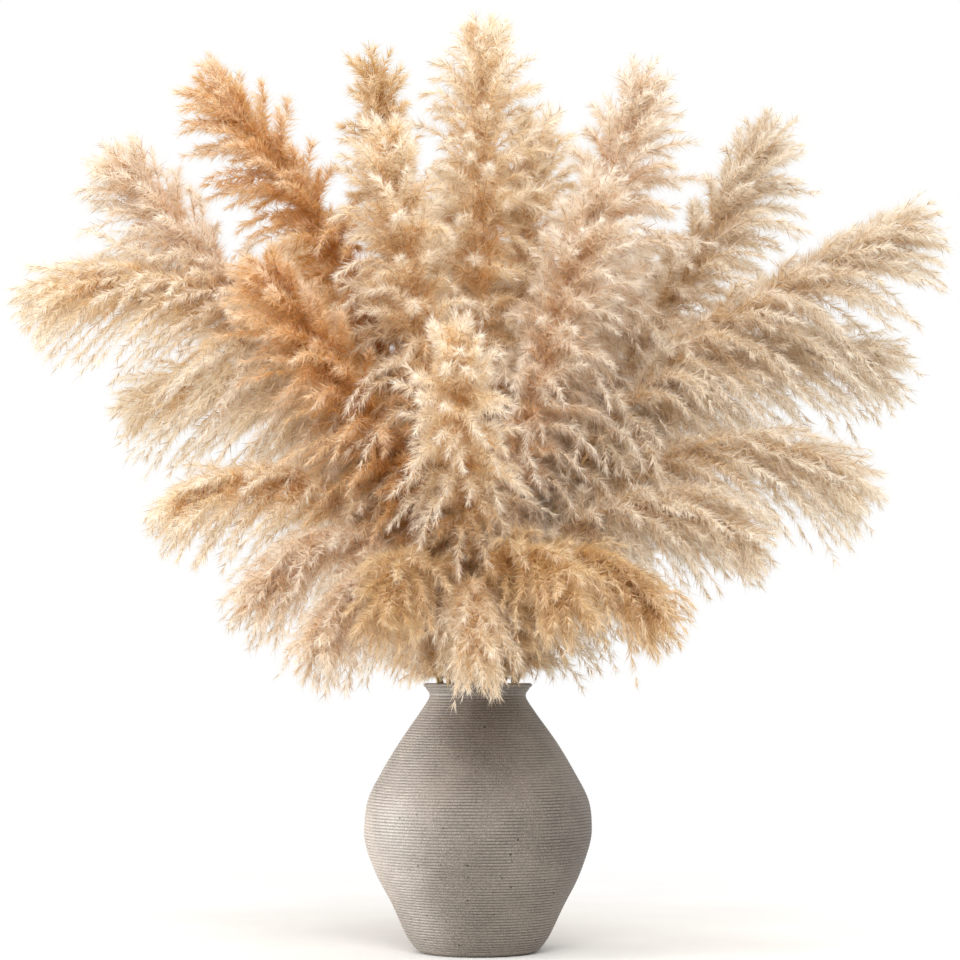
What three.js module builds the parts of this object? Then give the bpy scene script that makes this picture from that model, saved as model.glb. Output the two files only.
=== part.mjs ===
// A bundle of dried pampas grass in a ribbed stoneware vase.
//
// Millimetres, +Z up, the origin at the centre of the vase's underside. +X is to the right of someone
// who stands in front of the vase, and +Y leads away from them.
//
// The vase is one turned pot. Each stem stands on its inner floor, leans through the neck in the same
// turning sense as its neighbours, so that the stems pass without crossing, and arches out above the rim
// to its own tip. A stem is a bare stalk below and a plume above. A plume is a slim core with three-sided
// branchlets grown out of its facets, all round it, which rise along it and then hang; one that would
// cross another is turned or shortened until it is clear.

import * as THREE from "three";

// ---- Driving dimensions, in mm and degrees ----

const CLEARANCE = 0.3; // between pieces that touch

const VASE = {
  wall: 6.5,
  floor: 9, // height of the inner floor
  footRadius: 58, // of the flat that it stands on
  innerFloorRadius: 62,
  height: 310,
  lip: 3, // height of the rounded lip
  // Radius and height of the outside, from the round above the foot to the rim.
  outline: [
    [72, 4],
    [83, 19],
    [99, 53],
    [117.5, 88],
    [130, 123],
    [132.2, 147],
    [128, 176],
    [113, 206],
    [92, 241],
    [67.5, 276],
    [56.6, 294],
    [60, 303],
    [63.5, 307],
  ],
  ribs: 22,
  ribDepth: 1.2,
  innerSections: 5,
  facets: 30,
};

const STALK = {
  neckHeight: 296,
  footTurn: 115, // how far round the vase a stalk's foot stands from its place in the neck
  footScale: 1.1, // its distance from the vase's axis there, over that in the neck
  footRadius: 3,
  topRadius: 2.5,
  facets: 5,
  bends: 3, // sections of the arch between the neck and the plume
};

const CORE = {
  rootRadius: 3.4,
  fullRadius: 7.5,
  endRadius: 1.8,
  fullAt: 0.3, // of the plume's length
  endAt: 0.93, // where its last section ends, in a point
  facets: 5,
  sections: 5,
};

// One grows out of each facet of each section of the core.
const BRANCHLET = {
  rootAngle: 54, // off the core, at the plume's foot
  tipAngle: 28, // and at its tip
  rootHang: 1.7, // how strongly it bends down under its own weight, at the plume's foot
  tipHang: 0.45, // and at its tip
  rootRadius: 0.4, // over the core's radius there
  rootShare: 0.08, // of its lower half, which stands beside the roots of its neighbours
  coreShare: 0.36, // of its lower half, which lies along the core
  fullRadius: 8,
  bend: 0.5, // where along it the thickest place is
  shortest: 0.6, // at the plume's tip, over the longest
  beyond: 24, // how far one may pass the plume's tip
  tipTaper: 0.8, // how far behind the tip one ends, over its distance from the core
  clear: 0.6, // to any other
};

const TONE = {
  cream: "#ead3b4",
  blush: "#ead8ca",
  tan: "#d9b58d",
  amber: "#d3aa81",
  sand: "#d9ccb9",
};

// One row a stem. neck: its distance from the vase's axis in the neck and the angle there, from +X
// towards +Y. tip: where the plume ends. rise: how far it keeps the way it leaves the neck. slope: the way
// the tip points, above the level. length: of the plume. reach: its longest branchlet.
const STEMS = [
  // upright, in the middle
  { neck: [0, 0], tip: [8, 20, 1096], rise: 300, slope: 88, length: 540, reach: 190, tone: "cream" },
  { neck: [15, 0], tip: [200, 55, 1044], rise: 300, slope: 76, length: 510, reach: 215, tone: "blush" },
  { neck: [15, 60], tip: [70, 95, 1000], rise: 320, slope: 80, length: 480, reach: 160, tone: "cream" },
  { neck: [15, 115], tip: [-30, 225, 960], rise: 320, slope: 70, length: 470, reach: 185, tone: "cream" },
  { neck: [15, 190], tip: [-122, 0, 1046], rise: 320, slope: 86, length: 490, reach: 110, tone: "tan" },
  { neck: [15, 250], tip: [-106, -105, 945], rise: 300, slope: 80, length: 470, reach: 180, tone: "cream" },
  // leaning, round them
  { neck: [29, -2], tip: [528, 0, 858], rise: 370, slope: 26, length: 570, reach: 185, tone: "sand" },
  { neck: [29, 30], tip: [358, 80, 985], rise: 310, slope: 63, length: 530, reach: 190, tone: "sand" },
  { neck: [29, 65], tip: [225, 265, 850], rise: 320, slope: 48, length: 480, reach: 185, tone: "blush" },
  { neck: [29, 120], tip: [-240, 265, 870], rise: 320, slope: 48, length: 480, reach: 185, tone: "cream" },
  { neck: [29, 158], tip: [-330, 45, 1038], rise: 350, slope: 47, length: 560, reach: 175, tone: "amber" },
  { neck: [29, 188], tip: [-434, 0, 940], rise: 320, slope: 52, length: 530, reach: 180, tone: "blush" },
  { neck: [29, 222], tip: [-250, -110, 790], rise: 300, slope: 54, length: 430, reach: 170, tone: "amber" },
  { neck: [29, 277], tip: [-25, -245, 690], rise: 290, slope: 60, length: 400, reach: 175, tone: "cream" },
  { neck: [29, 315], tip: [142, -70, 890], rise: 320, slope: 72, length: 430, reach: 165, tone: "blush" },
  // arching over the rim
  { neck: [43, -12], tip: [440, -45, 530], rise: 300, slope: -42, length: 470, reach: 185, tone: "sand" },
  { neck: [43, 12], tip: [498, 65, 690], rise: 340, slope: -22, length: 520, reach: 180, tone: "sand" },
  { neck: [43, 50], tip: [205, 330, 520], rise: 290, slope: -38, length: 420, reach: 185, tone: "sand" },
  { neck: [43, 100], tip: [-130, 350, 495], rise: 270, slope: -42, length: 400, reach: 175, tone: "cream" },
  { neck: [43, 142], tip: [-425, 150, 650], rise: 310, slope: -30, length: 480, reach: 180, tone: "cream" },
  { neck: [43, 168], tip: [-520, -15, 752], rise: 360, slope: -32, length: 560, reach: 180, tone: "cream" },
  { neck: [43, 189], tip: [-346, -95, 500], rise: 280, slope: -42, length: 415, reach: 160, tone: "cream" },
  { neck: [43, 208], tip: [-244, -165, 398], rise: 260, slope: -60, length: 335, reach: 140, tone: "blush" },
  { neck: [43, 228], tip: [-168, -225, 345], rise: 220, slope: -70, length: 295, reach: 125, tone: "blush" },
  { neck: [43, 248], tip: [-100, -250, 385], rise: 215, slope: -60, length: 325, reach: 130, tone: "tan" },
  { neck: [43, 268], tip: [0, -255, 335], rise: 195, slope: -76, length: 250, reach: 105, tone: "cream" },
  { neck: [43, 288], tip: [95, -255, 390], rise: 220, slope: -58, length: 325, reach: 130, tone: "tan" },
  { neck: [43, 311], tip: [196, -185, 380], rise: 240, slope: -56, length: 305, reach: 130, tone: "tan" },
  { neck: [43, 332], tip: [306, -100, 468], rise: 260, slope: -45, length: 370, reach: 150, tone: "sand" },
];

// ---- Solids ----

const radians = THREE.MathUtils.degToRad;
const lerp = THREE.MathUtils.lerp;

/** A vector of a given length from the Z axis, at an angle round it, and height. */
const polar = (radius, angle, z) =>
  new THREE.Vector3(radius * Math.cos(angle), radius * Math.sin(angle), z);

/** Frames along points and the ways on from them, whose directions across turn as little as they can. */
function framesAlong(points, ways) {
  const side = new THREE.Vector3(0, 0, 1);
  if (Math.abs(ways[0].z) > 0.9) side.set(1, 0, 0);
  return points.map((point, i) => {
    side.addScaledVector(ways[i], -side.dot(ways[i])).normalize();
    return { point, side: side.clone(), other: new THREE.Vector3().crossVectors(ways[i], side) };
  });
}

/** A closed solid swept along frames, with a round of facets at each; a last radius of 0 is a point. */
function sweep(frames, radii, facets) {
  const positions = [];
  const faces = [];
  frames.forEach(({ point, side, other }, i) => {
    const count = radii[i] > 0 ? facets : 1;
    for (let k = 0; k < count; k++) {
      const angle = (2 * Math.PI * k) / facets;
      const corner = point
        .clone()
        .addScaledVector(side, radii[i] * Math.cos(angle))
        .addScaledVector(other, radii[i] * Math.sin(angle));
      positions.push(corner.x, corner.y, corner.z);
    }
  });
  const last = frames.length - 1;
  const end = last * facets;
  for (let i = 0; i < last; i++) {
    for (let k = 0; k < facets; k++) {
      const [a, b] = [i * facets + k, i * facets + ((k + 1) % facets)];
      if (radii[i + 1] > 0) faces.push(a, b, b + facets, a, b + facets, a + facets);
      else faces.push(a, b, end);
    }
  }
  for (let k = 1; k < facets - 1; k++) {
    faces.push(0, k + 1, k);
    if (radii[last] > 0) faces.push(end, end + k, end + k + 1);
  }
  return { positions: new Float32Array(positions), faces: new Uint32Array(faces) };
}

/** A mesh of flat facets from corners and the faces between them. */
function facetedMesh(name, { positions, faces }, material) {
  const geometry = new THREE.BufferGeometry()
    .setAttribute("position", new THREE.BufferAttribute(positions, 3))
    .setIndex(new THREE.BufferAttribute(faces, 1));
  const mesh = new THREE.Mesh(geometry, material);
  mesh.name = name;
  return mesh;
}

// ---- Vase ----

/** The smooth line of the vase's outside, as radius and height. */
const vaseSide = new THREE.SplineCurve(VASE.outline.map(([r, z]) => new THREE.Vector2(r, z)));

/** The vase's outer radius at a height. */
function vaseRadius(height) {
  const steps = 60;
  let best = vaseSide.getPoint(0);
  for (let i = 1; i <= steps; i++) {
    const point = vaseSide.getPoint(i / steps);
    if (Math.abs(point.y - height) < Math.abs(best.y - height)) best = point;
  }
  return best.x;
}

/** A turned pot, ribbed outside and smooth inside. */
function makeVase() {
  const outside = [];
  const sections = 2 * VASE.ribs;
  for (let i = 0; i <= sections; i++) {
    const point = vaseSide.getPointAt(i / sections);
    const groove = i % 2 === 1 ? VASE.ribDepth : 0;
    outside.push(new THREE.Vector2(point.x - groove, point.y));
  }
  const inside = [];
  for (let i = VASE.innerSections; i >= 0; i--) {
    const height = lerp(VASE.floor + 8, STALK.neckHeight, i / VASE.innerSections);
    inside.push(new THREE.Vector2(vaseRadius(height) - VASE.wall, height));
  }
  const rimRadius = VASE.outline.at(-1)[0];
  const profile = [
    new THREE.Vector2(0, 0),
    new THREE.Vector2(VASE.footRadius, 0),
    ...outside,
    new THREE.Vector2(rimRadius - 1.5, VASE.height),
    new THREE.Vector2(rimRadius - VASE.wall + 1.5, VASE.height),
    new THREE.Vector2(rimRadius - VASE.wall, VASE.height - VASE.lip),
    ...inside,
    new THREE.Vector2(VASE.innerFloorRadius, VASE.floor),
    new THREE.Vector2(0, VASE.floor),
  ];
  const geometry = new THREE.LatheGeometry(profile, VASE.facets).rotateX(Math.PI / 2);
  const mesh = new THREE.Mesh(
    geometry,
    new THREE.MeshStandardMaterial({ color: "#a89c8f", roughness: 0.85, metalness: 0 }),
  );
  mesh.name = "vase";
  return mesh;
}

// ---- Stems ----

/** The line of a stem: its foot, its place in the neck and the arch from there to its tip. */
function stemLine({ neck: [radius, degrees], tip, rise, slope }) {
  const angle = radians(degrees);
  const neck = polar(radius, angle, STALK.neckHeight);
  const foot = polar(STALK.footScale * radius, angle + radians(STALK.footTurn), VASE.floor);
  const way = new THREE.Vector3().subVectors(neck, foot).normalize();
  foot.z += CLEARANCE + STALK.footRadius * Math.hypot(way.x, way.y);
  const end = new THREE.Vector3(...tip);
  const outward = polar(Math.cos(radians(slope)), Math.atan2(end.y, end.x), Math.sin(radians(slope)));
  const arch = new THREE.CubicBezierCurve3(
    neck,
    neck.clone().addScaledVector(way, rise),
    end.clone().addScaledVector(outward, -0.35 * end.distanceTo(neck)),
    end,
  );
  return { foot, neck, way, arch };
}

/** The core's radius at a place along the plume, from 0 at its foot to 1 at its tip. */
const coreRadius = (t) =>
  t < CORE.fullAt
    ? lerp(CORE.rootRadius, CORE.fullRadius, Math.sin((Math.PI / 2) * (t / CORE.fullAt)))
    : lerp(CORE.fullRadius, CORE.endRadius, (t - CORE.fullAt) / (CORE.endAt - CORE.fullAt));

/** A branchlet's length over the plume's reach: longest a quarter of the way up, shorter to the tip. */
const branchletScale = (t) =>
  t < 0.25 ? lerp(0.75, 1, t / 0.25) : lerp(1, BRANCHLET.shortest, ((t - 0.25) / 0.75) ** 2);

/** The corners of a ring round a point, where corner k stands at k shares of a turn from side to other. */
function ring({ point, side, other }, radius, count) {
  return Array.from({ length: count }, (_, k) => {
    const angle = (2 * Math.PI * k) / count;
    return point
      .clone()
      .addScaledVector(side, radius * Math.cos(angle))
      .addScaledVector(other, radius * Math.sin(angle));
  });
}

/** The place on a four-cornered facet at u across it and v along it. */
const onFacet = ([a, b, c, d], u, v) => a.clone().lerp(b, u).lerp(d.clone().lerp(c, u), v);

/**
 * A branchlet that grows out of a facet of the core: the triangle that it has for a root there, its line
 * (a parabola that starts off along the core and outwards, and bends down) and its radii.
 */
function makeBranchlet(stem, corners, t, v, turn, scale) {
  const centre = onFacet(corners, 0.5, v);
  const way = onFacet(corners, 0.5, 1).sub(onFacet(corners, 0.5, 0)).normalize();
  const across = new THREE.Vector3().subVectors(corners[1], corners[0]).normalize();
  const normal = new THREE.Vector3().crossVectors(across, way).normalize();
  const outward = normal.clone().applyAxisAngle(way, radians(turn));
  const spread = radians(lerp(BRANCHLET.rootAngle, BRANCHLET.tipAngle, t));
  const start = way.clone().multiplyScalar(Math.cos(spread)).addScaledVector(outward, Math.sin(spread));
  const hang = lerp(BRANCHLET.rootHang, BRANCHLET.tipHang, t);
  const taper = Math.cos(spread) + BRANCHLET.tipTaper * Math.sin(spread);
  const room = ((1 - t) * stem.length + BRANCHLET.beyond) / taper;
  const length = Math.min((stem.reach * branchletScale(t) * scale) / (1 + 0.2 * hang), room);
  const points = [0, BRANCHLET.bend, 1].map((s) =>
    centre
      .clone()
      .addScaledVector(start, length * s)
      .add(new THREE.Vector3(0, 0, (-length * hang * s * s) / 2)),
  );
  const radii = [BRANCHLET.rootRadius * coreRadius(t), BRANCHLET.fullRadius * Math.min(1, 1.35 - t), 0];
  const on = new THREE.Vector3().subVectors(points[2], points[0]).normalize();
  // The way along the core less the way out of it, made square to the branchlet: corner 0 faces the core.
  const inward = way.clone().sub(outward);
  const side = inward.addScaledVector(on, -inward.dot(on)).normalize();
  const root = ring({ point: centre, side: way, other: normal.clone().cross(way) }, radii[0], 3);
  const middle = { point: points[1], side, other: new THREE.Vector3().crossVectors(on, side) };
  return { points, radii, root, middle: ring(middle, radii[1], 3), tip: points[2] };
}

/** The straight, tapered stretches of a bent line. */
const stretches = (points, radii, kind) =>
  points.slice(1).map((to, i) => {
    const box = new THREE.Box3().setFromPoints([points[i], to]);
    box.expandByScalar(Math.max(radii[i], radii[i + 1]) + BRANCHLET.clear);
    return { from: points[i], to, radii: [radii[i], radii[i + 1]], box, ...kind };
  });

/** The gap between two tapered stretches, where their middle lines come closest. */
function gapBetween(one, two) {
  const u = new THREE.Vector3().subVectors(one.to, one.from);
  const v = new THREE.Vector3().subVectors(two.to, two.from);
  const w = new THREE.Vector3().subVectors(one.from, two.from);
  const [a, b, c, d, e] = [u.dot(u), u.dot(v), v.dot(v), u.dot(w), v.dot(w)];
  const clamp = THREE.MathUtils.clamp;
  const denominator = a * c - b * b;
  let s = denominator > 1e-9 ? clamp((b * e - c * d) / denominator, 0, 1) : 0;
  const t = clamp((b * s + e) / c, 0, 1);
  s = clamp((b * t - d) / a, 0, 1);
  const apart = w.addScaledVector(u, s).addScaledVector(v, -t).length();
  return apart - lerp(...one.radii, s) - lerp(...two.radii, t);
}

/** Whether a branchlet keeps clear of the vase, every other stem and, past its own root, its own. */
function isClear({ points, radii }, owner, taken) {
  const nearVase = points.some(
    (p, i) => p.z < VASE.height + radii[i] + 1 && Math.hypot(p.x, p.y) < vaseRadius(p.z) + radii[i] + 1,
  );
  if (nearVase) return false;
  const past = (share) =>
    stretches([points[0].clone().lerp(points[1], share), ...points.slice(1)], radii, {});
  const whole = past(0);
  const pastRoot = past(BRANCHLET.rootShare);
  const pastCore = past(BRANCHLET.coreShare);
  return taken.every((other) => {
    const tested = other.owner !== owner ? whole : other.isBranchlet ? pastRoot : pastCore;
    return tested.every(
      (mine) => !mine.box.intersectsBox(other.box) || gapBetween(mine, other) > BRANCHLET.clear,
    );
  });
}

/** The stalk and the bare core of a stem. */
function makeStem(row, index) {
  const { foot, neck, way, arch } = stemLine(row);
  const start = 1 - row.length / arch.getLength();
  const stalkEnd = start - CLEARANCE / arch.getLength();
  const bends = Array.from({ length: STALK.bends }, (_, i) => ((i + 1) / STALK.bends) * stalkEnd);
  const stalkPoints = [foot, neck, ...bends.map((u) => arch.getPointAt(u))];
  const stalkWays = [way, way, ...bends.map((u) => arch.getTangentAt(u))];
  const places = Array.from({ length: CORE.sections + 1 }, (_, i) => (CORE.endAt * i) / CORE.sections);
  const along = [...places, 1].map((t) => lerp(start, 1, t));
  return {
    ...row,
    index,
    places,
    stalk: framesAlong(stalkPoints, stalkWays),
    stalkRadii: stalkPoints.map((_, i) => lerp(STALK.footRadius, STALK.topRadius, i / (STALK.bends + 1))),
    core: framesAlong(
      along.map((u) => arch.getPointAt(u)),
      along.map((u) => arch.getTangentAt(u)),
    ),
    coreRadii: [...places.map(coreRadius), 0],
    branchlets: new Map(),
  };
}

/** Gives one facet of every stem its branchlet, turned or shortened until it is clear. */
function growBranchlets(stems, section, facet, taken) {
  // The roots are staggered along the facets, so that they stand in no rings.
  const v = 0.2 + 0.6 * ((section * 0.37 + facet * 0.618) % 1);
  for (const stem of stems) {
    const rings = [section, section + 1].map((i) => ring(stem.core[i], stem.coreRadii[i], CORE.facets));
    const next = (facet + 1) % CORE.facets;
    const corners = [rings[0][facet], rings[0][next], rings[1][next], rings[1][facet]];
    const t = lerp(stem.places[section], stem.places[section + 1], v);
    const ways = [1, 0.8, 0.6, 0.45].flatMap((scale) => [0, 20, -20, 36, -36].map((turn) => [turn, scale]));
    for (const [turn, scale] of ways) {
      const branchlet = makeBranchlet(stem, corners, t, v, turn, scale);
      if (!isClear(branchlet, stem.index, taken)) continue;
      const kind = { owner: stem.index, isBranchlet: true };
      taken.push(...stretches(branchlet.points, branchlet.radii, kind));
      stem.branchlets.set(section * CORE.facets + facet, branchlet);
      break;
    }
  }
}

/** The plume of a stem as one surface: its core, with a spike on each facet that has a branchlet. */
function plumeSurface({ core, coreRadii, branchlets }) {
  const corners = core.flatMap((frame, i) => ring(frame, coreRadii[i], coreRadii[i] > 0 ? CORE.facets : 1));
  const faces = [];
  const end = CORE.sections * CORE.facets;
  for (let i = 0; i < CORE.sections; i++) {
    for (let k = 0; k < CORE.facets; k++) {
      const [a, b] = [i * CORE.facets + k, i * CORE.facets + ((k + 1) % CORE.facets)];
      const [c, d] = [b + CORE.facets, a + CORE.facets];
      const branchlet = branchlets.get(a);
      if (!branchlet) {
        faces.push(a, b, c, a, c, d);
        continue;
      }
      // Corner 0 of the root points up the core, 1 and 2 lie lower, to the left and right of it.
      const [r0, r1, r2] = [0, 1, 2].map((n) => corners.length + n);
      const [m0, m1, m2, tip] = [3, 4, 5, 6].map((n) => corners.length + n);
      corners.push(...branchlet.root, ...branchlet.middle, branchlet.tip);
      faces.push(a, b, r1, b, r2, r1, b, c, r2, c, r0, r2, c, d, r0, d, r1, r0, d, a, r1);
      for (const [p, q, m, n] of [[r0, r1, m0, m1], [r1, r2, m1, m2], [r2, r0, m2, m0]]) {
        faces.push(p, q, n, p, n, m, m, n, tip);
      }
    }
  }
  for (let k = 0; k < CORE.facets; k++) {
    faces.push(end + k, end + ((k + 1) % CORE.facets), end + CORE.facets);
    if (k > 0 && k < CORE.facets - 1) faces.push(0, k + 1, k);
  }
  return {
    positions: new Float32Array(corners.flatMap((corner) => corner.toArray())),
    faces: new Uint32Array(faces),
  };
}

const stems = STEMS.map(makeStem);
const taken = stems.flatMap(({ stalk, stalkRadii, core, coreRadii, index }) => [
  ...stretches(stalk.map(({ point }) => point), stalkRadii, { owner: index }),
  ...stretches(core.map(({ point }) => point), coreRadii, { owner: index }),
]);
for (let section = 0; section < CORE.sections; section++) {
  for (let facet = 0; facet < CORE.facets; facet++) growBranchlets(stems, section, facet, taken);
}

// ---- The bundle ----

const bundle = new THREE.Group();
bundle.add(makeVase());
for (const stem of stems) {
  const number = String(stem.index + 1).padStart(2, "0");
  const stalk = sweep(stem.stalk, stem.stalkRadii, STALK.facets);
  const straw = new THREE.MeshStandardMaterial({ color: "#c9b27e", roughness: 0.7, metalness: 0 });
  bundle.add(facetedMesh("stalk_" + number, stalk, straw));
  const fluff = new THREE.MeshStandardMaterial({ color: TONE[stem.tone], roughness: 0.9, metalness: 0 });
  bundle.add(facetedMesh("plume_" + number, plumeSurface(stem), fluff));
}

export default bundle;
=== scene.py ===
"""A bundle of dried pampas grass in a ribbed stoneware vase.

Metres, +Z up, the origin at the centre of the vase's underside; +X is to the right of someone who stands in
front of the vase, and +Y leads away from them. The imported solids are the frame. Every plume is dressed with
branches that carry fine hair, every stalk is a jointed straw, and the vase is a turned pot with fine ribs.
"""

import logging
import math
from dataclasses import dataclass, field
from enum import Enum

import bpy
import numpy as np
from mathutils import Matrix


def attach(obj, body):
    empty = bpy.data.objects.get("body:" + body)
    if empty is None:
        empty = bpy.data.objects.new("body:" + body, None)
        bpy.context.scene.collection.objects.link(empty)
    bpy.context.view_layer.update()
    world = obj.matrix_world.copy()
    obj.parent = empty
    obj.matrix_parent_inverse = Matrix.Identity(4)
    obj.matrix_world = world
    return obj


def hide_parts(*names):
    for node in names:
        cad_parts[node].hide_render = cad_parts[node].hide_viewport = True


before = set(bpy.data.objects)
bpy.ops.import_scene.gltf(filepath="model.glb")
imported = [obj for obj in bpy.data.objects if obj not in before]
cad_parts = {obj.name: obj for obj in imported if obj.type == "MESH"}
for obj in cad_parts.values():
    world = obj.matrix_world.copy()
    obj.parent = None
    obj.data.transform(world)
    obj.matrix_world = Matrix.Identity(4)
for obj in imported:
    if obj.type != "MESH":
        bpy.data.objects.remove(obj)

LOG = logging.getLogger("pampas")
MAP_NAME = "OFBake"  # the pieces' own UV map
WHITE = (1.0, 1.0, 1.0, 1.0)
Z = np.array([0.0, 0.0, 1.0])
SKEW = np.array([0.31, 0.67, 0.12])  # a direction that no branch is parallel to
GOLDEN_TURN = math.pi * (3.0 - math.sqrt(5.0))


# ---- Small helpers for arrays and colours ----


def unit(vectors: np.ndarray) -> np.ndarray:
    """Scales vectors to length 1.

    Args:
        vectors: an array whose last axis holds x, y and z.

    Returns:
        Each vector divided by its own length.
    """
    return vectors / np.maximum(np.linalg.norm(vectors, axis=-1, keepdims=True), 1e-12)


def polar(radius: float, degrees: float, height: float) -> np.ndarray:
    """The point at a radius and an angle round the Z axis, at a height."""
    angle = math.radians(degrees)
    return np.array([radius * math.cos(angle), radius * math.sin(angle), height])


def mix(low: np.ndarray | float, high: np.ndarray | float, share: np.ndarray | float) -> np.ndarray | float:
    """Low where share is 0, high where it is 1, and straight between them."""
    return low + (high - low) * share


def linear(code: str) -> tuple[float, float, float, float]:
    """Turns a screen colour into a linear one.

    Args:
        code: a colour such as "#ead3b4".

    Returns:
        Red, green, blue and an alpha of 1, where each of the three is ((c + 0.055) / 1.055) to the power 2.4.
    """
    screen = [int(code[i : i + 2], 16) / 255 for i in (1, 3, 5)]
    red, green, blue = (((c + 0.055) / 1.055) ** 2.4 if c > 0.04045 else c / 12.92 for c in screen)
    return red, green, blue, 1.0


def frame_across(ways: np.ndarray, aside: np.ndarray) -> tuple[np.ndarray, np.ndarray]:
    """Two directions square to each way and to each other.

    Args:
        ways: unit vectors, on the last axis.
        aside: a direction that no way is parallel to, or one for each way.

    Returns:
        The part of aside that is square to the way, at length 1, and the way crossed with it.
    """
    side = unit(aside - ways * np.sum(aside * ways, axis=-1, keepdims=True))
    return side, np.cross(ways, side)


def tube(points: np.ndarray, ways: np.ndarray, aside: np.ndarray, radii: np.ndarray, sides: int) -> np.ndarray:
    """Rings of corners round a line: point + radius * (cos(angle) * side + sin(angle) * other).

    Args:
        points: the line's points, of shape (..., 3).
        ways: the unit way on at each point.
        aside: see frame_across.
        radii: the radius at each point.
        sides: corners in a ring.

    Returns:
        The corners, of shape (..., sides, 3).
    """
    side, other = frame_across(ways, aside)
    angles = np.linspace(0.0, 2.0 * math.pi, sides, endpoint=False)[:, None]
    offsets = np.cos(angles) * side[..., None, :] + np.sin(angles) * other[..., None, :]
    return points[..., None, :] + offsets * np.asarray(radii)[..., None, None]


def ring_walls(rings: int, sides: int) -> np.ndarray:
    """The triangles between neighbouring rings of corners, two for each side of a ring.

    Args:
        rings: rings along the shape.
        sides: corners in each ring.

    Returns:
        Corner numbers, three a row, where corner k of ring i has the number i * sides + k.
    """
    ring, corner = np.meshgrid(np.arange(rings - 1), np.arange(sides), indexing="ij")
    a = ring * sides + corner
    b = ring * sides + (corner + 1) % sides
    return np.stack([a, b, b + sides, a, b + sides, a + sides], axis=-1).reshape(-1, 3)


def tube_faces(rings: int, sides: int) -> np.ndarray:
    """The triangles of one tube, facing out: its walls, then a fan over each end, numbered as in ring_walls."""
    fan = np.arange(1, sides - 1)
    foot = np.stack([np.zeros_like(fan), fan + 1, fan], axis=-1)
    top = np.stack([np.zeros_like(fan), fan, fan + 1], axis=-1) + (rings - 1) * sides
    return np.concatenate([ring_walls(rings, sides), foot, top])


def linked(name: str, data: bpy.types.ID) -> bpy.types.Object:
    """An object of a mesh, lamp or camera, linked to the scene, at the origin."""
    made = bpy.data.objects.new(name, data)
    bpy.context.scene.collection.objects.link(made)
    return made


@dataclass
class Surface:
    """Triangles with a place on the piece's UV map for each of their corners, and the finish they take."""

    corners: np.ndarray
    faces: np.ndarray
    places: np.ndarray  # U and V of each corner
    grains: np.ndarray | float = 0.5  # a value for each triangle, from 0 to 1
    finish: int = 0

    def mesh(self, name: str, *others: "Surface", smooth: bool = False) -> bpy.types.Object:
        """Makes one object of this surface and others.

        Args:
            name: the piece's name.
            others: surfaces that join the same piece.
            smooth: whether the triangles are shaded smooth.

        Returns:
            The object, linked to the scene, at the origin.
        """
        parts = [self, *others]
        shifts = np.cumsum([0, *(len(part.corners) for part in parts[:-1])])
        corners = np.concatenate([part.corners for part in parts]).astype(np.float32)
        faces = np.concatenate([part.faces + shift for part, shift in zip(parts, shifts)]).astype(np.int32)
        places = np.concatenate([part.places for part in parts]).astype(np.float32)
        grains = np.concatenate([np.broadcast_to(part.grains, len(part.faces)) for part in parts]).astype(np.float32)
        finishes = np.concatenate([np.full(len(part.faces), part.finish, np.int32) for part in parts])
        mesh = bpy.data.meshes.new(name)
        mesh.vertices.add(len(corners))
        mesh.vertices.foreach_set("co", corners.ravel())
        mesh.loops.add(faces.size)
        mesh.loops.foreach_set("vertex_index", faces.ravel())
        mesh.polygons.add(len(faces))
        mesh.polygons.foreach_set("loop_start", np.arange(0, faces.size, 3, dtype=np.int32))
        mesh.polygons.foreach_set("material_index", finishes)
        mesh.polygons.foreach_set("use_smooth", np.full(len(faces), smooth))
        layer = mesh.uv_layers.new(name=MAP_NAME)
        layer.uv.foreach_set("vector", places[faces.ravel()].ravel())
        mesh.attributes.new("grain", "FLOAT", "FACE").data.foreach_set("value", grains)
        mesh.update(calc_edges=True)
        return linked(name, mesh)


# ---- Finishes ----


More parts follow.
